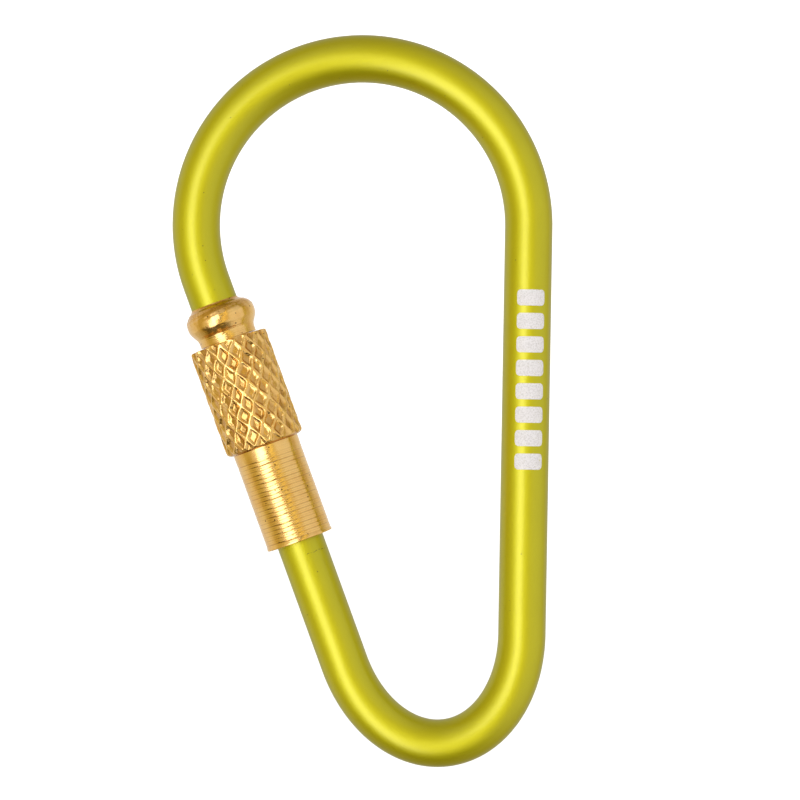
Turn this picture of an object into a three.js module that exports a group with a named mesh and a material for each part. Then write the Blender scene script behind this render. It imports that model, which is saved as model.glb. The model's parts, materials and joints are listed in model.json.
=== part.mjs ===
// Locking carabiner: a round aluminium rod bent into a pear-shaped hook, closed by a brass
// ferrule, a sleeve that slides on the rod and a knurled nut that turns on the sleeve.
// Millimetres, +Z up. The carabiner hangs from the inside crest of its wide bow, which is the
// origin; its flat plane is XZ, and its straight spine runs down on the +X side.
import * as THREE from "three";

// Rod
const rodDiameter = 5;
const wideBowRadius = 17.5; // to the middle of the rod
const closureLean = THREE.MathUtils.degToRad(20.9); // from the spine to the closure side
const narrowBowLongAxis = 13.2; // half axes of the elliptical narrow bow
const narrowBowShortAxis = 9.75;
const rodHalfSides = 10; // facets on each half of the rod's section
const rodSteps = 110;

// Closure: stations count down the closure side from the top of the ferrule
const straightAboveFerrule = 2.7; // from the end of the wide bow to the ferrule
const ridgeTop = 1.1; // the ring where the ferrule is widest
const ridgeEnd = 1.7;
const neckTop = 3.45;
const neckEnd = 3.85; // the ferrule's shoulder, which the nut closes on
const spigotEnd = 6.6;
const socketDepth = 3.1; // how far the rod's upper end goes into the ferrule
const nutLength = 11.6;
const threadEnd = 7.5; // of the nut's upper bore
const lipTop = 12.7; // the sleeve's rolled-out lip, inside the nut
const lipThickness = 0.7;
const sleeveEnd = 26.25;
const rodEnd = 14; // the rod's free end, hidden in the sleeve when closed

// Closure radii
const bellTopRadius = 2.85;
const ferruleRadius = 3.7;
const neckRadius = 3.05;
const spigotRadius = 2.7;
const nutRadius = 4.2;
const chamberRadius = 3.4; // the hollow in the nut, round the lip
const lipRadius = 3.28;
const sleeveNeckRadius = 3.05;
const sleeveRadius = 3.55;

// Clearances and small edges
const slideClearance = 0.1;
const endGap = 0.15;
const edge = 0.35;

const turnedSides = 40;
const curveSteps = 6; // along each curved stretch of a turned outline
const rodRadius = rodDiameter / 2;
const boreRadius = rodRadius + slideClearance;
const nutTop = neckEnd + endGap;

const anodised = new THREE.MeshStandardMaterial({ color: 0xbcb41c, roughness: 0.32, metalness: 0.85 });
const brass = new THREE.MeshStandardMaterial({ color: 0xd8a24c, roughness: 0.25, metalness: 1 });

// Wide bow: a circle whose inside crest is the origin.
const bowCentre = new THREE.Vector3(0, 0, -(wideBowRadius - rodRadius));
// Unit vector down the closure side, and the point where the wide bow runs into that side.
const closureDown = new THREE.Vector3(Math.sin(closureLean), 0, -Math.cos(closureLean));
const closureStart = new THREE.Vector3(
  bowCentre.x - wideBowRadius * Math.cos(closureLean),
  0,
  bowCentre.z - wideBowRadius * Math.sin(closureLean),
);

// A point on the closure side, by its station.
function onClosureSide(station) {
  return closureStart.clone().addScaledVector(closureDown, straightAboveFerrule + station);
}

// An elliptical arc in space: centre + along * cos(angle) + across * sin(angle).
class EllipseArc extends THREE.Curve {
  constructor(centre, along, across, startAngle, endAngle) {
    super();
    Object.assign(this, { centre, along, across, startAngle, endAngle });
  }

  getPoint(t, target = new THREE.Vector3()) {
    const angle = THREE.MathUtils.lerp(this.startAngle, this.endAngle, t);
    return target
      .copy(this.centre)
      .addScaledVector(this.along, Math.cos(angle))
      .addScaledVector(this.across, Math.sin(angle));
  }
}

// The wide bow, from the closure side over the crest to the top of the spine.
function wideBow() {
  const right = new THREE.Vector3(wideBowRadius, 0, 0);
  const up = new THREE.Vector3(0, 0, wideBowRadius);
  return new EllipseArc(bowCentre, right, up, Math.PI + closureLean, 0);
}

// The narrow bow: an ellipse on the bisector of the spine and the closure side, so placed that
// both sides are its tangents. It runs from the spine to the closure side.
function narrowBow() {
  const halfAngle = closureLean / 2;
  const spineX = bowCentre.x + wideBowRadius;
  const bisector = new THREE.Vector3(Math.sin(halfAngle), 0, -Math.cos(halfAngle));
  const across = new THREE.Vector3(Math.cos(halfAngle), 0, Math.sin(halfAngle));
  const apex = closureStart.clone().addScaledVector(closureDown, (spineX - closureStart.x) / closureDown.x);
  const centreToSide = Math.hypot(
    narrowBowLongAxis * Math.sin(halfAngle),
    narrowBowShortAxis * Math.cos(halfAngle),
  );
  const centre = apex.addScaledVector(bisector, -centreToSide / Math.sin(halfAngle));
  const tangentAngle = Math.atan2(
    narrowBowShortAxis * Math.cos(halfAngle),
    narrowBowLongAxis * Math.sin(halfAngle),
  );
  return new EllipseArc(
    centre,
    bisector.multiplyScalar(narrowBowLongAxis),
    across.multiplyScalar(narrowBowShortAxis),
    tangentAngle,
    -tangentAngle,
  );
}

// The rod's centreline, from its end in the ferrule round to its free end.
function rodPath() {
  const top = wideBow();
  const bottom = narrowBow();
  const path = new THREE.CurvePath();
  path.add(new THREE.LineCurve3(onClosureSide(socketDepth - endGap), top.getPoint(0)));
  path.add(top);
  path.add(new THREE.LineCurve3(top.getPoint(1), bottom.getPoint(0)));
  path.add(bottom);
  path.add(new THREE.LineCurve3(bottom.getPoint(1), onClosureSide(rodEnd)));
  return path;
}

// A turned piece from its [radius, station] outline, in its place on the closure side.
function turned(name, outline) {
  const geometry = new THREE.LatheGeometry(
    outline.map(([radius, station]) => new THREE.Vector2(radius, -station)),
    turnedSides,
  );
  geometry.rotateX(Math.PI / 2);
  const mesh = new THREE.Mesh(geometry, brass);
  mesh.name = name;
  mesh.position.copy(onClosureSide(0));
  mesh.rotation.y = -closureLean;
  return mesh;
}

// The bent rod.
function frameRod() {
  const section = new THREE.Shape().absarc(0, 0, rodRadius, 0, 2 * Math.PI);
  const geometry = new THREE.ExtrudeGeometry(section, {
    steps: rodSteps,
    curveSegments: rodHalfSides,
    extrudePath: rodPath(),
  });
  const mesh = new THREE.Mesh(geometry, anodised);
  mesh.name = "frame_rod";
  return mesh;
}

// Points on a curve that leaves start towards bend and arrives at end from it.
function swept(start, bend, end) {
  const corner = ([radius, station]) => new THREE.Vector2(radius, station);
  const curve = new THREE.QuadraticBezierCurve(corner(start), corner(bend), corner(end));
  return curve.getPoints(curveSteps).map((point) => [point.x, point.y]);
}

// The ferrule pressed on the rod's upper end: a blind socket, a flared bell, a neck and the
// spigot that the nut screws on to.
function topFerrule() {
  const socketRadius = rodRadius + slideClearance / 2;
  const bellBend = [ferruleRadius - edge / 2, ridgeTop - edge];
  const waistBend = [neckRadius + slideClearance, neckTop - edge];
  const bell = swept([bellTopRadius, 0], bellBend, [ferruleRadius, ridgeTop]);
  const waist = swept([ferruleRadius, ridgeEnd], waistBend, [neckRadius, neckTop]);
  return turned("top_ferrule", [
    [0, spigotEnd],
    [spigotRadius - edge, spigotEnd],
    [spigotRadius, spigotEnd - edge],
    [spigotRadius, neckEnd],
    [neckRadius, neckEnd],
    ...waist.reverse(),
    ...bell.reverse(),
    [socketRadius, 0],
    [socketRadius, socketDepth],
    [0, socketDepth],
  ]);
}

// The knurled nut: a threaded bore at the top that passes over the rod, a chamber for the
// sleeve's rolled lip, and a lower bore that turns on the sleeve's neck.
function lockNut() {
  const bottom = nutTop + nutLength;
  const threadRadius = spigotRadius + endGap;
  const chamberEnd = lipTop + lipThickness + slideClearance;
  const lowerBore = sleeveNeckRadius + slideClearance;
  return turned("lock_nut", [
    [threadRadius, threadEnd],
    [chamberRadius, threadEnd],
    [chamberRadius, chamberEnd],
    [lowerBore, chamberEnd],
    [lowerBore, bottom],
    [nutRadius - edge, bottom],
    [nutRadius, bottom - edge],
    [nutRadius, nutTop + edge],
    [nutRadius - edge, nutTop],
    [threadRadius, nutTop],
    [threadRadius, threadEnd],
  ]);
}

// The sleeve: a long shank on the rod, and a thin neck rolled outwards inside the nut, which
// keeps the nut on it.
function slideSleeve() {
  const shankTop = nutTop + nutLength + endGap;
  const lipEnd = lipTop + lipThickness;
  return turned("slide_sleeve", [
    [boreRadius, lipTop],
    [boreRadius, sleeveEnd],
    [sleeveRadius - edge / 2, sleeveEnd],
    [sleeveRadius, sleeveEnd - edge / 2],
    [sleeveRadius, shankTop],
    [sleeveNeckRadius, shankTop],
    [sleeveNeckRadius, lipEnd],
    [lipRadius, lipEnd],
    [lipRadius, lipTop],
    [boreRadius, lipTop],
  ]);
}

const carabiner = new THREE.Group();
carabiner.add(frameRod(), topFerrule(), lockNut(), slideSleeve());

export default carabiner;
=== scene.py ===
"""The looks of a pear-shaped locking carabiner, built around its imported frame.

The rod, ferrule, nut and sleeve are made again here as fine meshes on the CAD's own centreline
and axes: a smooth swept rod, a real diamond knurl, tool lines and threads. All sizes are in
metres; stations are counted down the closure side from the top of the ferrule.
"""

import json
import math

import bmesh
import bpy
import numpy as np
from mathutils import Euler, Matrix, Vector


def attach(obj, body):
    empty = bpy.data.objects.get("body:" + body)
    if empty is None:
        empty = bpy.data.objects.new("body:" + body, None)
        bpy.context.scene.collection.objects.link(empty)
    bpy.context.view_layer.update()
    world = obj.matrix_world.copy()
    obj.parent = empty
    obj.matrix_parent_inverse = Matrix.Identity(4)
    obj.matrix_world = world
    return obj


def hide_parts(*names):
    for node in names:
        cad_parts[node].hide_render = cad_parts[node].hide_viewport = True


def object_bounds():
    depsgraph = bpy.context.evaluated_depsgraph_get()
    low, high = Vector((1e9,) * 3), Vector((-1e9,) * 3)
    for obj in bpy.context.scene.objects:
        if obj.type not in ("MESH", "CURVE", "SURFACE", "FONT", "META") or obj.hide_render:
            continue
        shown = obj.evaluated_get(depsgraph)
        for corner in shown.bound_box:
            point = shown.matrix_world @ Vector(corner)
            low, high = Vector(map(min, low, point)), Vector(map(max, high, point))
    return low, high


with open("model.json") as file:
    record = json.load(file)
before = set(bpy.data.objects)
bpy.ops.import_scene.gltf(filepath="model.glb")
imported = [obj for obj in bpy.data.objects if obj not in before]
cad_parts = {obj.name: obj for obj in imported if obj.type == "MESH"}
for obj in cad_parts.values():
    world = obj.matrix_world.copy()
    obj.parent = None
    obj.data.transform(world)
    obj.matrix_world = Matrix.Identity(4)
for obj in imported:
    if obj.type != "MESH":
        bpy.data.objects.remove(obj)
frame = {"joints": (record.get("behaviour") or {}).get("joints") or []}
cad_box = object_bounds()

MM = 0.001

# Rod
ROD_RADIUS = 2.5 * MM
WIDE_BOW_RADIUS = 17.5 * MM  # to the middle of the rod
NARROW_BOW_LONG_AXIS = 13.2 * MM
NARROW_BOW_SHORT_AXIS = 9.75 * MM
ROD_SIDES = 96

# Closure stations
RIDGE_TOP = 1.15 * MM  # the ring where the ferrule is widest
RIDGE_END = 1.95 * MM
NECK_TOP = 3.45 * MM
NECK_END = 3.85 * MM
SPIGOT_END = 6.6 * MM
SOCKET_DEPTH = 3.1 * MM
NUT_TOP = 4.0 * MM
NUT_BOTTOM = 15.6 * MM
THREAD_END = 7.5 * MM
LIP_TOP = 12.7 * MM
LIP_END = 13.4 * MM
SLEEVE_TOP = 15.61 * MM  # where the sleeve's shank starts, under the nut
SLEEVE_END = 26.25 * MM
ROD_END = 14.0 * MM

# Closure radii
FERRULE_RADIUS = 3.7 * MM
NECK_RADIUS = 3.05 * MM
NUT_RADIUS = 4.2 * MM
SLEEVE_RADIUS = 3.55 * MM
BELL_OFFSET = 0.15 * MM  # the ferrule's bell sits this far to the right of the rod's axis
BORE_RADIUS = 2.6 * MM

# Surface cuts
THREAD_PITCH = 0.75 * MM
KNURL_COUNT = 17  # ridges of one hand round the nut
KNURL_PITCH = 2.25 * MM  # of one hand, along the nut
KNURL_DEPTH = 0.26 * MM
KNURL_TURN = 0.082  # radians: how far the knurl is turned on the nut
KNURL_START = 0.23 * MM  # the station that its rows of crossings are counted from
TOOL_LINE_PITCH = 0.46 * MM
TOOL_LINE_DEPTH = 0.055 * MM

joints = {joint["name"]: joint for joint in frame["joints"]}
FERRULE_TOP = Vector(joints["nut_turn"]["pos_m"])
CLOSURE_DOWN = Vector(joints["sleeve_slide"]["axis"]).normalized()
CLOSURE_LEAN = math.atan2(CLOSURE_DOWN.x, -CLOSURE_DOWN.z)
BOW_CENTRE = Vector((0, 0, ROD_RADIUS - WIDE_BOW_RADIUS))  # the frame's origin is the inside crest


# ---------------------------------------------------------------- geometry helpers

def mesh_object(name, vertices, faces, material, sharp_angle=35):
    """A smooth-shaded mesh in the scene, with sharp edges where its faces meet at a large angle."""
    mesh = bpy.data.meshes.new(name)
    mesh.from_pydata([tuple(v) for v in vertices], [], faces)
    mesh.validate()
    mesh.shade_smooth()
    mesh.set_sharp_from_angle(angle=math.radians(sharp_angle))
    mesh.materials.append(material)
    made = bpy.data.objects.new(name, mesh)
    bpy.context.scene.collection.objects.link(made)
    return made


def smooth_step(x):
    x = np.clip(x, 0, 1)
    return x * x * (3 - 2 * x)


def grid_faces(rows, columns, close_rows):
    """Quads between neighbouring rows of a grid that closes round its columns."""
    faces = []
    for i in range(rows if close_rows else rows - 1):
        below = (i + 1) % rows
        for j in range(columns):
            right = (j + 1) % columns
            first, second = i * columns, below * columns
            faces.append((first + j, first + right, second + right, second + j))
    return faces


def run(start, end, count, cut=None):
    """Rows of (radius, station, cut) from start up to but without end, evenly spaced."""
    rows = []
    for t in np.arange(count) / count:
        radius = start[0] + (end[0] - start[0]) * t
        station = start[1] + (end[1] - start[1]) * t
        rows.append((radius, station, cut))
    return rows


def turned(name, outline, sides, material, sharp_angle=35):
    """A turned piece on the closure side. Each row of the closed outline is (radius, station, cut),
    and cut, where there is one, takes the row's radius, station and angles to its radii. Two
    neighbouring rows of no radius leave the piece closed at both."""
    across = Vector((0, -1, 0)).cross(CLOSURE_DOWN)
    angles = np.arange(sides) / sides * 2 * math.pi
    ring = np.outer(np.cos(angles), Vector((0, -1, 0))) + np.outer(np.sin(angles), across)
    rows = []
    for radius, station, cut in outline:
        radii = cut(radius, station, angles) if cut else np.full(sides, radius)
        rows.append(np.array(FERRULE_TOP + CLOSURE_DOWN * station) + ring * radii[:, None])
    made = mesh_object(name, np.vstack(rows), grid_faces(len(rows), sides, True), material, sharp_angle)
    if min(radius for radius, _, _ in outline) == 0:
        close_on_axis(made.data)
    return made


def close_on_axis(mesh):
    """Joins the vertices that lie on the turning axis, and drops the faces that lose their area."""
    shape = bmesh.new()
    shape.from_mesh(mesh)
    bmesh.ops.remove_doubles(shape, verts=shape.verts, dist=1e-9)
    bmesh.ops.dissolve_degenerate(shape, dist=1e-9, edges=shape.edges)
    loose = [edge for edge in shape.edges if not edge.link_faces]
    bmesh.ops.delete(shape, geom=loose, context="EDGES")
    shape.to_mesh(mesh)
    shape.free()


# ---------------------------------------------------------------- surface cuts

def knurl_cell_random(right_hand, left_hand):
    """A number from 0 to 1 for each diamond, the same all round the nut's seam."""
    across = np.floor(right_hand) - np.floor(left_hand)
    along = (np.floor(right_hand) + np.floor(left_hand)) % (2 * KNURL_COUNT)
    return np.sin(across * 12.9898 + along * 78.233) * 43758.5453 % 1


def knurl_depth(station, angles):
    """Share of the knurl's depth: 0 on a ridge and about 1 low in a diamond, where it is deepest."""
    turns = (angles - KNURL_TURN) / (2 * math.pi) * KNURL_COUNT
    along = (station - KNURL_START) / KNURL_PITCH
    wander = 0.06 * np.sin(angles * 3 + station / MM * 1.3)
    wander += 0.045 * np.sin(angles * 8 - station / MM * 2.3)
    right_hand = turns + along + wander
    left_hand = turns - along + 0.5 + wander * 0.6
    to_lower = np.minimum(1 - right_hand % 1, left_hand % 1)
    to_upper = np.minimum(right_hand % 1, 1 - left_hand % 1)
    crest = 0.06 + 0.035 * np.sin(angles * 7 + station / MM * 2.1)
    lower_wall = 1 - np.clip(1 - (to_lower - crest) / 0.22, 0, 1) ** 1.8
    upper_wall = 1 - np.clip(1 - (to_upper - crest) / 0.36, 0, 1) ** 2.0
    pit = 0.62 + 0.6 * knurl_cell_random(right_hand, left_hand)
    wear = np.sin(angles * 5 + station / MM * 3.1) * np.sin(angles * 11 - station / MM)
    inside = (to_lower > crest) & (to_upper > crest)
    return np.where(inside, lower_wall * upper_wall * pit, 0) + 0.1 * smooth_step(wear * 2)


def knurled(radius, station, angles):
    return np.minimum(radius, NUT_RADIUS - KNURL_DEPTH * knurl_depth(station, angles))


def tool_lined(radius, station, angles):
    """Shallow tool lines round the sleeve, of uneven depth, fading out towards the nut."""
    turns = station / TOOL_LINE_PITCH - angles / (2 * math.pi)
    coarse = (1 - np.abs(np.sin(math.pi * turns))) ** 1.3
    fine = (1 - np.abs(np.cos(math.pi * turns))) ** 1.5
    uneven = 0.83 + 0.17 * np.sin(station / MM * 5.3) * np.sin(angles * 2 + station / MM * 1.7)
    start = 0.1 + 0.9 * smooth_step((station - SLEEVE_TOP - 0.7 * MM) / (0.6 * MM))
    end = smooth_step((SLEEVE_END - 0.2 * MM - station) / (0.2 * MM))
    burr = 0.03 * MM * smooth_step((station - SLEEVE_END + 0.5 * MM) / (0.4 * MM))
    return radius + burr - TOOL_LINE_DEPTH * (coarse + 0.6 * fine) * uneven * start * end


def off_axis(radii, station, angles):
    """Moves the ferrule's bell and neck sideways, but not the rim on the rod."""
    return radii + BELL_OFFSET * smooth_step((station + 0.15 * MM) / (0.6 * MM)) * np.sin(angles)


def neck_lined(radius, station, angles):
    """Very fine tool lines on the ferrule's neck."""
    groove = (1 + np.cos(2 * math.pi * station / (0.2 * MM))) / 2
    share = smooth_step((station - RIDGE_END - 0.5 * MM) / (0.7 * MM))
    return off_axis(radius - 0.01 * MM * groove * share, station, angles)


def dented(radius, station, angles):
    """Small shallow dents, most of them on the ferrule's shoulder."""
    share = smooth_step((station - 0.2 * MM) / (0.4 * MM))
    share *= 1 - 0.75 * smooth_step((station - 1.0 * MM) / (0.5 * MM))
    broad = np.sin(angles * 5 + station / MM * 3.1) * np.sin(angles * 9 - station / MM * 2.9 + 1.3)
    small = np.sin(angles * 17 + station / MM * 6) * np.sin(angles * 11 - station / MM * 8 + 0.6)
    return off_axis(radius - 0.027 * MM * share * (broad + 0.8 * small), station, angles)


def thread_profile(station, angles):
    """Height of a screw thread, 0 in the root and 1 on the crest."""
    phase = (station / THREAD_PITCH - angles / (2 * math.pi)) % 1
    return np.clip(1.35 - np.abs(phase - 0.5) * 3.4, 0, 1)


def male_thread(radius, station, angles):
    fade = smooth_step((station - NECK_END - 0.25 * MM) / (0.3 * MM))
    fade *= smooth_step((SPIGOT_END - station) / (0.35 * MM))
    return radius - 0.36 * MM * (1 - thread_profile(station, angles) * fade)


def female_thread(radius, station, angles):
    return radius + 0.28 * MM * thread_profile(station, angles)


# ---------------------------------------------------------------- rod

def on_closure_side(station):
    return FERRULE_TOP + CLOSURE_DOWN * station


def arc_points(centre, along, across, start, end, count):
    angles = np.linspace(start, end, count)
    return [centre + along * math.cos(a) + across * math.sin(a) for a in angles]


def rod_centreline():
    """From the rod's end in the ferrule over the wide bow, down the spine and round to its free end."""
    wide = arc_points(
        BOW_CENTRE,
        Vector((WIDE_BOW_RADIUS, 0, 0)),
        Vector((0, 0, WIDE_BOW_RADIUS)),
        math.pi + CLOSURE_LEAN,
        0,
        150,
    )
    half = CLOSURE_LEAN / 2
    bisector = Vector((math.sin(half), 0, -math.cos(half)))
    across = Vector((math.cos(half), 0, math.sin(half)))
    spine_x = BOW_CENTRE.x + WIDE_BOW_RADIUS
    apex = wide[0] + CLOSURE_DOWN * ((spine_x - wide[0].x) / CLOSURE_DOWN.x)
    long_part = NARROW_BOW_LONG_AXIS * math.sin(half)
    short_part = NARROW_BOW_SHORT_AXIS * math.cos(half)
    centre = apex - bisector * (math.hypot(long_part, short_part) / math.sin(half))
    tangent = math.atan2(short_part, long_part)
    narrow = arc_points(
        centre,
        bisector * NARROW_BOW_LONG_AXIS,
        across * NARROW_BOW_SHORT_AXIS,
        tangent,
        -tangent,
        120,
    )
    upper_end = on_closure_side(SOCKET_DEPTH - 0.15 * MM)
    free_end = on_closure_side(ROD_END)
    spine = subdivide(wide[-1], narrow[0], 40)
    closure_side = subdivide(narrow[-1], free_end, 30)
    return [upper_end, *wide, *spine, *narrow, *closure_side, free_end]


def subdivide(start, end, count):
    return [start.lerp(end, i / count) for i in range(1, count)]


def make_rod(material):
    """The bent rod, with a bevel at each of its two ends."""
    bevel_length = 0.08 * MM
    centre = rod_centreline()
    angles = np.arange(ROD_SIDES) / ROD_SIDES * 2 * math.pi
    thickness = Vector((0, 1, 0))
    rings = []
    for i, point in enumerate(centre):
        before = centre[max(i - 1, 0)]
        after = centre[min(i + 1, len(centre) - 1)]
        tangent = (after - before).normalized()
        side = tangent.cross(thickness)
        rings.append((point, tangent, side, ROD_RADIUS))
    for edge in (0, -1):
        point, tangent, side, _ = rings[edge]
        inward = tangent if edge == 0 else -tangent
        rings[edge] = (point + inward * 0.35 * MM, tangent, side, ROD_RADIUS)
        bevel = [
            (point + inward * bevel_length, tangent, side, ROD_RADIUS - 0.16 * MM),
            (point, tangent, side, ROD_RADIUS - 0.32 * MM),
        ]
        rings = bevel[::-1] + rings if edge == 0 else rings + bevel
    rows = []
    for point, _, side, radius in rings:
        ring = np.outer(np.cos(angles), side) + np.outer(np.sin(angles), thickness)
        rows.append(np.array(point) + ring * radius)
    vertices = np.vstack(rows)
    faces = grid_faces(len(rows), ROD_SIDES, False)
    first = list(range(ROD_SIDES))[::-1]
    last = [len(vertices) - ROD_SIDES + j for j in range(ROD_SIDES)]
    return mesh_object("bent_rod", vertices, faces + [tuple(first), tuple(last)], material)


# ---------------------------------------------------------------- brass pieces

def swept(start, bend, end, count, cut):
    """Rows on the curve that leaves start towards bend and arrives at end from it."""
    rows = []
    for t in np.arange(count) / count:
        weights = ((1 - t) ** 2, 2 * t * (1 - t), t ** 2)
        radius, station = np.dot(weights, (start, bend, end))
        rows.append((radius, station, cut))
    return rows


def make_ferrule(material):
    """The ferrule: a lip on the rod, a round bell, a neck, a threaded spigot and a blind socket."""
    socket = ROD_RADIUS + 0.03 * MM
    crest = 2.85 * MM
    lip = (socket + 0.02 * MM, -0.22 * MM)
    shoulder = (3.06 * MM, 0.2 * MM)
    ridge_top = (FERRULE_RADIUS - 0.02 * MM, RIDGE_TOP)
    ridge_end = (FERRULE_RADIUS - 0.06 * MM, RIDGE_END)
    undercut = (3.5 * MM, 2.3 * MM)
    waist = (3.15 * MM, 2.9 * MM)
    outline = [
        (socket, -0.18 * MM, None),
        *swept(lip, (socket + 0.06 * MM, 0), shoulder, 10, off_axis),
        *swept(shoulder, (3.56 * MM, 0.62 * MM), ridge_top, 36, dented),
        *swept(ridge_top, (FERRULE_RADIUS + 0.03 * MM, 1.5 * MM), ridge_end, 24, dented),
        *swept(ridge_end, (3.6 * MM, 2.14 * MM), undercut, 16, dented),
        *swept(undercut, (3.32 * MM, 2.62 * MM), waist, 30, neck_lined),
        *swept(waist, (NECK_RADIUS, 3.12 * MM), (NECK_RADIUS, NECK_TOP), 40, neck_lined),
        *run((NECK_RADIUS, NECK_TOP), (NECK_RADIUS, NECK_END), 20, neck_lined),
        *run((crest, NECK_END), (crest, SPIGOT_END), 64, male_thread),
        (crest - 0.45 * MM, SPIGOT_END, None),
        (0, SPIGOT_END, None),
        (0, SOCKET_DEPTH, None),
        (socket, SOCKET_DEPTH, None),
    ]
    return turned("ferrule", outline, 160, material)


def make_nut(material):
    """The knurled nut, with its threaded upper bore and the chamber for the sleeve's lip."""
    bore = 2.9 * MM
    chamfer = 0.27 * MM
    chamber = 3.4 * MM
    lower_bore = 3.15 * MM
    chamber_end = 13.5 * MM
    top_edge = 0.14 * MM
    bottom_edge = 0.5 * MM
    sleeve_side = (SLEEVE_RADIUS + 0.02 * MM, NUT_BOTTOM)
    corner = (NUT_RADIUS, NUT_BOTTOM - 0.12 * MM)
    outline = [
        *run((bore + chamfer, NUT_TOP), (NUT_RADIUS - top_edge, NUT_TOP), 3),
        *run((NUT_RADIUS - top_edge, NUT_TOP), (NUT_RADIUS, NUT_TOP + top_edge), 3, knurled),
        *run((NUT_RADIUS, NUT_TOP + top_edge), (NUT_RADIUS, NUT_BOTTOM - bottom_edge), 176, knurled),
        *swept((NUT_RADIUS, NUT_BOTTOM - bottom_edge), corner, sleeve_side, 12, knurled),
        (*sleeve_side, None),
        (lower_bore, NUT_BOTTOM, None),
        (lower_bore, chamber_end, None),
        (chamber, chamber_end, None),
        (chamber, THREAD_END, None),
        *run((bore, THREAD_END), (bore, NUT_TOP + chamfer), 36, female_thread),
    ]
    return turned("knurled_nut", outline, 24 * KNURL_COUNT, material, 70)


def make_sleeve(material):
    """The sleeve: a lined shank, and a thin neck with the lip that keeps the nut on."""
    lip_radius = 3.28 * MM
    neck = 3.05 * MM
    round_off = 0.03 * MM
    shank_end = (SLEEVE_RADIUS, SLEEVE_END - round_off)
    outline = [
        (BORE_RADIUS, LIP_TOP, None),
        (lip_radius - round_off, LIP_TOP, None),
        (lip_radius, LIP_TOP + round_off, None),
        (lip_radius, LIP_END, None),
        (neck, LIP_END, None),
        (neck, SLEEVE_TOP, None),
        (SLEEVE_RADIUS - round_off, SLEEVE_TOP, None),
        *run((SLEEVE_RADIUS, SLEEVE_TOP + round_off), shank_end, 400, tool_lined),
        *run(shank_end, (SLEEVE_RADIUS - round_off, SLEEVE_END), 3),
        (SLEEVE_RADIUS - round_off, SLEEVE_END, None),
        (BORE_RADIUS + round_off, SLEEVE_END, None),
        (BORE_RADIUS, SLEEVE_END - round_off, None),
    ]
    return turned("sliding_sleeve", outline, 144, material)


# ---------------------------------------------------------------- printed mark

def make_print(material):
    """A plain row of bars with rounded corners on the spine, as a thin film of ink on the rod."""
    bars = 8
    pitch = 2.45 * MM
    half_height = 0.84 * MM
    corner = 0.42 * MM
    first_z = -22.4 * MM
    middle_angle = math.radians(7)
    half_width = math.radians(35) * ROD_RADIUS
    columns = 40
    film = 0.02 * MM
    vertices, faces = [], []
    for bar in range(bars):
        base = len(vertices)
        for radius in (ROD_RADIUS + film, ROD_RADIUS - film):
            for across in np.linspace(-half_width, half_width, columns + 1):
                into_corner = max(abs(across) - (half_width - corner), 0)
                rounding = corner - math.sqrt(max(corner ** 2 - into_corner ** 2, 0))
                angle = middle_angle + across / ROD_RADIUS
                for end in (1, -1):
                    z = first_z - bar * pitch + end * (half_height - rounding)
                    outward = Vector((math.sin(angle), -math.cos(angle), 0)) * radius
                    vertices.append(Vector((WIDE_BOW_RADIUS, 0, z)) + outward)
        inner = 2 * (columns + 1)
        for column in range(columns):
            a, b = base + 2 * column, base + 2 * column + 1
            faces.append((a, b, b + 2, a + 2))
            faces.append((a + inner, a + inner + 2, b + inner + 2, b + inner))
            faces.append((a, a + 2, a + inner + 2, a + inner))
            faces.append((b, b + inner, b + inner + 2, b + 2))
        last = base + 2 * columns
        faces.append((base, base + inner, base + inner + 1, base + 1))
        faces.append((last, last + 1, last + inner + 1, last + inner))
    return mesh_object("printed_bars", vertices, faces, material)


# ---------------------------------------------------------------- materials

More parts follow.
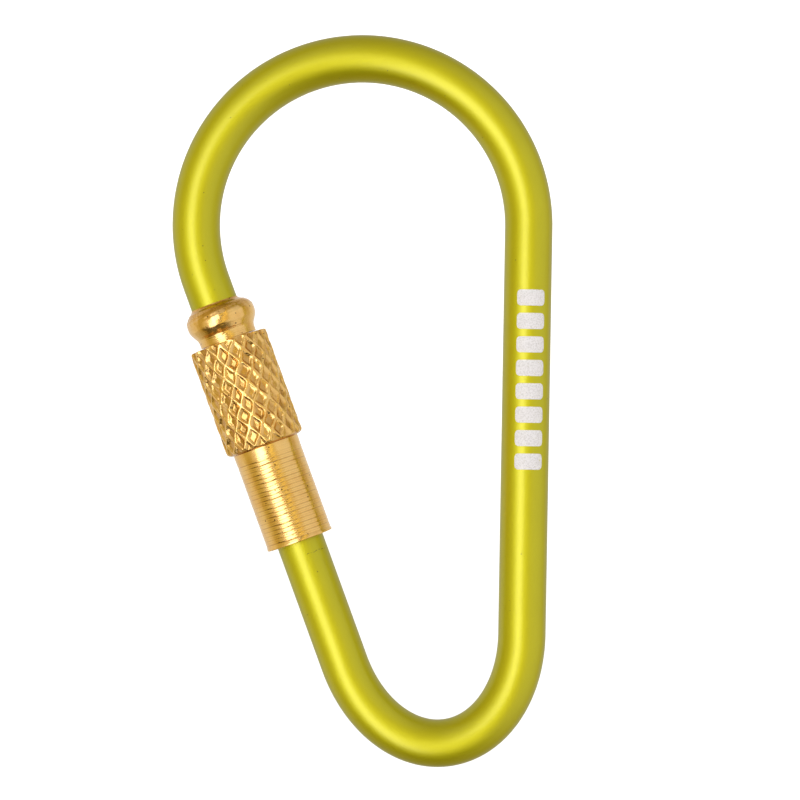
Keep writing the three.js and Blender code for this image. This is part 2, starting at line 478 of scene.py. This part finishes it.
class Shader:
    """A material's node tree with short calls for adding and linking nodes."""

    def __init__(self, name=None, tree=None):
        if name:
            self.material = bpy.data.materials.new(name)
            self.material.use_nodes = True
            tree = self.material.node_tree
            self.surface = tree.nodes["Principled BSDF"]
        self.tree = tree

    def node(self, kind, settings=None, **inputs):
        made = self.tree.nodes.new("ShaderNode" + kind)
        for key, value in (settings or {}).items():
            setattr(made, key, value)
        for key, value in inputs.items():
            self.put(made, key.replace("_", " "), value)
        return made

    def put(self, node, socket, value):
        target = node.inputs[int(socket[1:])] if socket[0] == "#" else node.inputs[socket]
        if isinstance(value, bpy.types.NodeSocket):
            self.tree.links.new(value, target)
        else:
            target.default_value = value

    def math(self, operation, a, b=0.0, clamp=False):
        made = self.node("Math", {"operation": operation, "use_clamp": clamp})
        self.put(made, "#0", a)
        self.put(made, "#1", b)
        return made.outputs[0]

    def ramp(self, value, low, high, out_low=0.0, out_high=1.0):
        made = self.node("MapRange", {"clamp": True, "interpolation_type": "SMOOTHSTEP"})
        for socket, number in (("Value", value), ("From Min", low), ("From Max", high),
                               ("To Min", out_low), ("To Max", out_high)):
            self.put(made, socket, number)
        return made.outputs["Result"]

    def mix(self, share, a, b):
        made = self.node("Mix", {"data_type": "RGBA"})
        for socket, value in (("#0", share), ("#6", a), ("#7", b)):
            self.put(made, socket, value)
        return made.outputs[2]

    def millimetres(self):
        """The point on the piece at rest, in millimetres."""
        place = self.node("TexCoord").outputs["Object"]
        scaled = self.node("VectorMath", {"operation": "SCALE"})
        self.put(scaled, "#0", place)
        self.put(scaled, "Scale", 1 / MM)
        return scaled.outputs[0]

    def noise(self, vector, scale, detail=2.0, roughness=0.5):
        made = self.node("TexNoise", Vector=vector, Scale=scale, Detail=detail, Roughness=roughness)
        return made.outputs["Fac"]

    def bump(self, height, distance, strength=1.0, normal=None):
        made = self.node("Bump", Height=height, Distance=distance, Strength=strength)
        if normal:
            self.put(made, "Normal", normal)
        return made.outputs["Normal"]

    def station(self):
        """Distance down the closure side from the ferrule's top, in millimetres."""
        place = self.node("TexCoord").outputs["Object"]
        local = self.node("VectorMath", {"operation": "SUBTRACT"})
        self.put(local, "#0", place)
        self.put(local, "#1", tuple(FERRULE_TOP))
        along = self.node("VectorMath", {"operation": "DOT_PRODUCT"})
        self.put(along, "#0", local.outputs[0])
        self.put(along, "#1", tuple(CLOSURE_DOWN / MM))
        return along.outputs["Value"]


def flecks(shader, points, scale, size, chance):
    """Sparse round specks: 1 inside a speck, 0 outside."""
    cells = shader.node("TexVoronoi", Vector=points, Scale=scale)
    inside = shader.ramp(cells.outputs["Distance"], size * 0.6, size, 1.0, 0.0)
    picked = shader.node("SeparateColor", Color=cells.outputs["Color"]).outputs[0]
    return shader.math("MULTIPLY", inside, shader.math("GREATER_THAN", picked, 1 - chance))


def ring_scratch(shader, points):
    """A broken hairline part of the way round the rod, just below the sleeve."""
    wobble = shader.ramp(shader.noise(points, 1.2), 0.2, 0.8, -0.12, 0.12)
    station = shader.math("ADD", shader.station(), wobble)
    line = window(shader, station, 27.78, 27.82, 0.05)
    broken = shader.ramp(shader.noise(points, 4, 3, 0.7), 0.42, 0.5)
    across = shader.node("SeparateXYZ", Vector=points)
    middle = on_closure_side(27.8 * MM).x / MM
    part = window(shader, across.outputs["X"], middle + 0.35, middle + 2.0, 0.2)
    front = shader.math("LESS_THAN", across.outputs["Y"], 0.0)
    shown = shader.math("MULTIPLY", part, front)
    return shader.math("MULTIPLY", shader.math("MULTIPLY", line, broken), shown)


def anodised_material():
    """Satin yellow-green anodising with tiny pits, faint scuffs and slightly wavy metal under it."""
    shader = Shader("anodised_lime")
    points = shader.millimetres()
    broad = shader.noise(points, 0.35, 3)
    fine = shader.noise(points, 9, 3, 0.65)
    wavy = shader.noise(points, 1.6, 3, 0.6)
    colour = shader.mix(broad, (0.552, 0.505, 0.002, 1), (0.592, 0.545, 0.004, 1))
    pits = flecks(shader, points, 0.8, 0.06, 0.3)
    marks = shader.math("MAXIMUM", pits, ring_scratch(shader, points))
    colour = shader.mix(shader.math("MULTIPLY", marks, 0.8), colour, (0.16, 0.13, 0.01, 1))
    scuffs = shader.ramp(shader.noise(points, 1.3, 4, 0.7), 0.60, 0.78)
    colour = shader.mix(shader.math("MULTIPLY", scuffs, 0.12), colour, (0.40, 0.34, 0.01, 1))
    satin = shader.ramp(fine, 0.3, 0.7, 0.49, 0.54)
    roughness = shader.math("ADD", satin, shader.math("MULTIPLY", scuffs, 0.05))
    normal = shader.bump(wavy, 0.012 * MM)
    normal = shader.bump(fine, 0.005 * MM, 0.8, normal)
    normal = shader.bump(pits, -0.03 * MM, 0.8, normal)
    for socket, value in (("Base Color", colour), ("Roughness", roughness), ("Normal", normal),
                          ("Metallic", 1.0), ("Specular Tint", (0.2, 0.2, 0.02, 1)),
                          ("Coat Weight", 0.75), ("Coat Roughness", 0.3)):
        shader.put(shader.surface, socket, value)
    return shader.material


def brass_material(name, unevenness, smoothest, roughest):
    """Turned brass: fine rings, a light uneven tarnish, dark specks, painted shade darkening the
    deepest parts of the cuts, and a stained shoulder on the ferrule."""
    shader = Shader(name)
    points = shader.millimetres()
    station = shader.station()
    rings = shader.node("TexNoise", {"noise_dimensions": "1D"}, W=station, Scale=14.0, Detail=4.0)
    grain = shader.noise(points, 6.5, 3, 0.6)
    tarnish = shader.ramp(shader.noise(points, 0.8, 4, 0.6), 0.35, 0.75)
    colour = shader.mix(tarnish, (0.86, 0.55, 0.195, 1), (0.81, 0.475, 0.15, 1))
    depth = shader.node("Attribute", {"attribute_name": "cut_depth"}).outputs["Fac"]
    # Painted shade: the deepest parts of the knurl and the tool lines are darkened towards dark brown.
    painted_cut_shade = shader.math("MULTIPLY", shader.ramp(depth, 0.45, 1.0), 0.55)
    colour = shader.mix(painted_cut_shade, colour, (0.38, 0.17, 0.03, 1))
    shoulder = shader.ramp(station, 0.4, 1.3, 0.85, 0.0)
    stain = shader.math("MULTIPLY", shoulder, shader.ramp(grain, 0.35, 0.6, 0.3, 1.0))
    colour = shader.mix(stain, colour, (0.60, 0.30, 0.06, 1))
    specks = flecks(shader, points, 1.4, 0.15, 0.4)
    colour = shader.mix(shader.math("MULTIPLY", specks, 0.85), colour, (0.10, 0.04, 0.01, 1))
    uneven = shader.noise(points, 2.6, 4, 0.62)
    roughness = shader.ramp(uneven, 0.3, 0.75, smoothest, roughest)
    normal = shader.bump(rings.outputs["Fac"], 0.005 * MM)
    normal = shader.bump(uneven, unevenness, 0.8, normal)
    normal = shader.bump(grain, unevenness * 0.35, 0.8, normal)
    for socket, value in (("Base Color", colour), ("Roughness", roughness), ("Normal", normal),
                          ("Metallic", 1.0)):
        shader.put(shader.surface, socket, value)
    return shader.material


def print_material():
    """Slightly speckled white ink, worn through to the rod in small places."""
    shader = Shader("white_ink")
    points = shader.millimetres()
    speckle = shader.ramp(shader.noise(points, 7, 4, 0.7), 0.42, 0.68)
    colour = shader.mix(speckle, (0.80, 0.78, 0.84, 1), (0.60, 0.58, 0.62, 1))
    worn = shader.ramp(shader.noise(points, 3.2, 5, 0.75), 0.64, 0.70)
    colour = shader.mix(worn, colour, (0.55, 0.52, 0.16, 1))
    normal = shader.bump(shader.noise(points, 11, 2), 0.006 * MM)
    for socket, value in (("Base Color", colour), ("Roughness", 0.55), ("Normal", normal)):
        shader.put(shader.surface, socket, value)
    return shader.material


# ---------------------------------------------------------------- studio

def pale_backdrop():
    """A round floor that turns up into a wall all round, far outside the object."""
    floor_z = cad_box[0].z - 40 * MM
    flat, bend, high = 1.2, 0.5, 2.2
    profile = [(0.001, floor_z), (flat * 0.5, floor_z)]
    for angle in np.linspace(0, math.pi / 2, 16):
        profile.append((flat + bend * math.sin(angle), floor_z + bend * (1 - math.cos(angle))))
    profile.append((flat + bend, floor_z + high))
    sides = 96
    angles = np.arange(sides) / sides * 2 * math.pi
    across, along = np.cos(angles), np.sin(angles)
    rows = [np.stack([r * across, r * along, np.full(sides, z)], 1) for r, z in profile]
    shader = Shader("pale_paper")
    for socket, value in (("Base Color", (0.55, 0.55, 0.55, 1)), ("Roughness", 0.9),
                          ("Emission Color", (1, 1, 1, 1)), ("Emission Strength", 0.8)):
        shader.put(shader.surface, socket, value)
    faces = grid_faces(len(rows), sides, False)
    backdrop = mesh_object("backdrop", np.vstack(rows), faces, shader.material)
    backdrop.visible_glossy = False
    backdrop.visible_diffuse = False
    backdrop.visible_shadow = False


def stops(shader, value, low, high, *places):
    """A smooth ramp through (place, brightness, warmth), with places from low to high."""
    made = shader.node("ValToRGB")
    ramp = made.color_ramp
    ramp.interpolation = "EASE"
    while len(ramp.elements) < len(places):
        ramp.elements.new(0.5)
    for element, (place, level, warmth) in zip(ramp.elements, places):
        element.position = (place - low) / (high - low)
        element.color = (level, level * (1 - 0.14 * warmth), level * (1 - 0.7 * warmth), 1)
    share = shader.node("MapRange", Value=value)
    shader.put(share, "From Min", low)
    shader.put(share, "From Max", high)
    shader.put(made, "Fac", share.outputs["Result"])
    return made.outputs["Color"]


def window(shader, value, low, high, softness):
    """1 between low and high, falling smoothly to 0 over softness on each side."""
    rise = shader.ramp(value, low - softness, low)
    fall = shader.ramp(value, high, high + softness, 1.0, 0.0)
    return shader.math("MULTIPLY", rise, fall)


def studio_world():
    """The room that the metal reflects: pale walls, dark below, and a broad soft light on the left.
    Azimuth 0 is in front of the object and positive to the right; angles are in degrees."""
    world = bpy.data.worlds.new("studio")
    world.use_nodes = True
    room = Shader(tree=world.node_tree)
    direction = room.node("SeparateXYZ", Vector=room.node("TexCoord").outputs["Generated"])
    towards_camera = room.math("MULTIPLY", direction.outputs["Y"], -1)
    azimuth = room.math("DEGREES", room.math("ARCTAN2", direction.outputs["X"], towards_camera))
    elevation = room.math("DEGREES", room.math("ARCSINE", direction.outputs["Z"]))
    walls = stops(
        room, azimuth, -180, 180,
        (-180, 0.85, 0), (-140, 0.85, 0), (-114, 0.9, 0), (-97, 0.87, 0.4), (-82, 0.65, 1),
        (-66, 0.61, 1), (-50, 0.84, 0.7), (-42, 0.92, 0), (-6, 0.95, 0), (0, 0.35, 0.9),
        (4, 0.25, 1), (9, 1.3, 0.9), (17, 1.1, 0.9), (25, 0.72, 0.8), (33, 0.95, 0.1),
        (70, 0.92, 0), (94, 0.89, 0.2), (110, 0.62, 0.7), (126, 0.82, 0.1), (180, 0.85, 0),
    )
    heights = stops(
        room, elevation, -90, 90,
        (-90, 0.45, 1), (-60, 0.55, 0.6), (-44, 0.75, 0.3), (-30, 0.96, 0),
        (10, 1.0, 0), (38, 0.85, 0), (65, 0.66, 0.2), (90, 0.55, 0.4),
    )
    floor = room.math(
        "MULTIPLY",
        window(room, azimuth, -65, 45, 25),
        window(room, elevation, -90, -43, 9),
    )
    walls = room.mix(room.math("MULTIPLY", floor, 0.75), walls, (0.03, 0.022, 0.01, 1))
    light = room.math(
        "MULTIPLY",
        window(room, azimuth, -30, -10, 9),
        window(room, elevation, -36, 3, 22),
    )
    tinted = room.node("VectorMath", {"operation": "MULTIPLY"})
    room.put(tinted, "#0", walls)
    room.put(tinted, "#1", heights)
    glow = room.node("VectorMath", {"operation": "SCALE"})
    room.put(glow, "#0", (2.75, 2.8, 3.15))
    room.put(glow, "Scale", light)
    lit = room.node("VectorMath", {"operation": "ADD"})
    room.put(lit, "#0", tinted.outputs[0])
    room.put(lit, "#1", glow.outputs[0])
    room.put(room.tree.nodes["Background"], "Color", lit.outputs[0])
    room.put(room.tree.nodes["Background"], "Strength", 1.0)
    bpy.context.scene.world = world


def long_lens_camera():
    """Square to the object's flat side, a touch rolled, with the object a little left of the middle."""
    low, high = cad_box
    middle = (low + high) / 2
    frame_width = 1.0955 * (high.z - low.z)
    aside = 0.1064 * (high.x - low.x)
    roll = math.radians(-0.97)
    camera = bpy.data.cameras.new("camera")
    camera.lens = 135
    camera.clip_start = 0.01
    distance = frame_width * camera.lens / camera.sensor_width
    rig = bpy.data.objects.new("camera", camera)
    rig.location = middle + Vector((aside, -distance, 0.1 * MM))
    rig.rotation_euler = Euler((math.pi / 2, roll, 0), "XYZ")
    bpy.context.scene.collection.objects.link(rig)
    bpy.context.scene.camera = rig


# ---------------------------------------------------------------- build

def place(piece, body, slot, *nodes):
    """Puts a piece on its body, in place of the CAD nodes that are named, if any. The slot is not used.
    """
    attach(piece, body)
    if nodes:
        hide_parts(*nodes)
    return piece


def record_cut_depth(piece, radius, depth):
    """Stores how deep each vertex lies in the piece's surface cuts, from 0 to 1, for the painted shade
    that its material puts in the cuts.
    """
    points = np.array([v.co for v in piece.data.vertices]) - np.array(FERRULE_TOP)
    axis = np.array(CLOSURE_DOWN)
    radii = np.linalg.norm(points - np.outer(points @ axis, axis), axis=1)
    share = np.clip((radius - radii) / depth, 0, 1).astype(np.float32)
    piece.data.attributes.new("cut_depth", "FLOAT", "POINT").data.foreach_set("value", share)


rod = make_rod(anodised_material())
ferrule = make_ferrule(brass_material("ferrule_brass", 0.019 * MM, 0.11, 0.2))
sleeve = make_sleeve(brass_material("sleeve_brass", 0.012 * MM, 0.14, 0.24))
nut = make_nut(brass_material("nut_brass", 0.035 * MM, 0.15, 0.28))
record_cut_depth(sleeve, SLEEVE_RADIUS, TOOL_LINE_DEPTH)
record_cut_depth(nut, NUT_RADIUS, KNURL_DEPTH)
place(rod, "frame", "anodised_rod", "frame_rod")
place(ferrule, "frame", "turned_brass", "top_ferrule")
place(sleeve, "sleeve", "turned_brass", "slide_sleeve")
place(nut, "nut", "knurled_brass", "lock_nut")
place(make_print(print_material()), "frame", "white_print")

pale_backdrop()
studio_world()
long_lens_camera()
bpy.context.scene.view_settings.view_transform = "Standard"
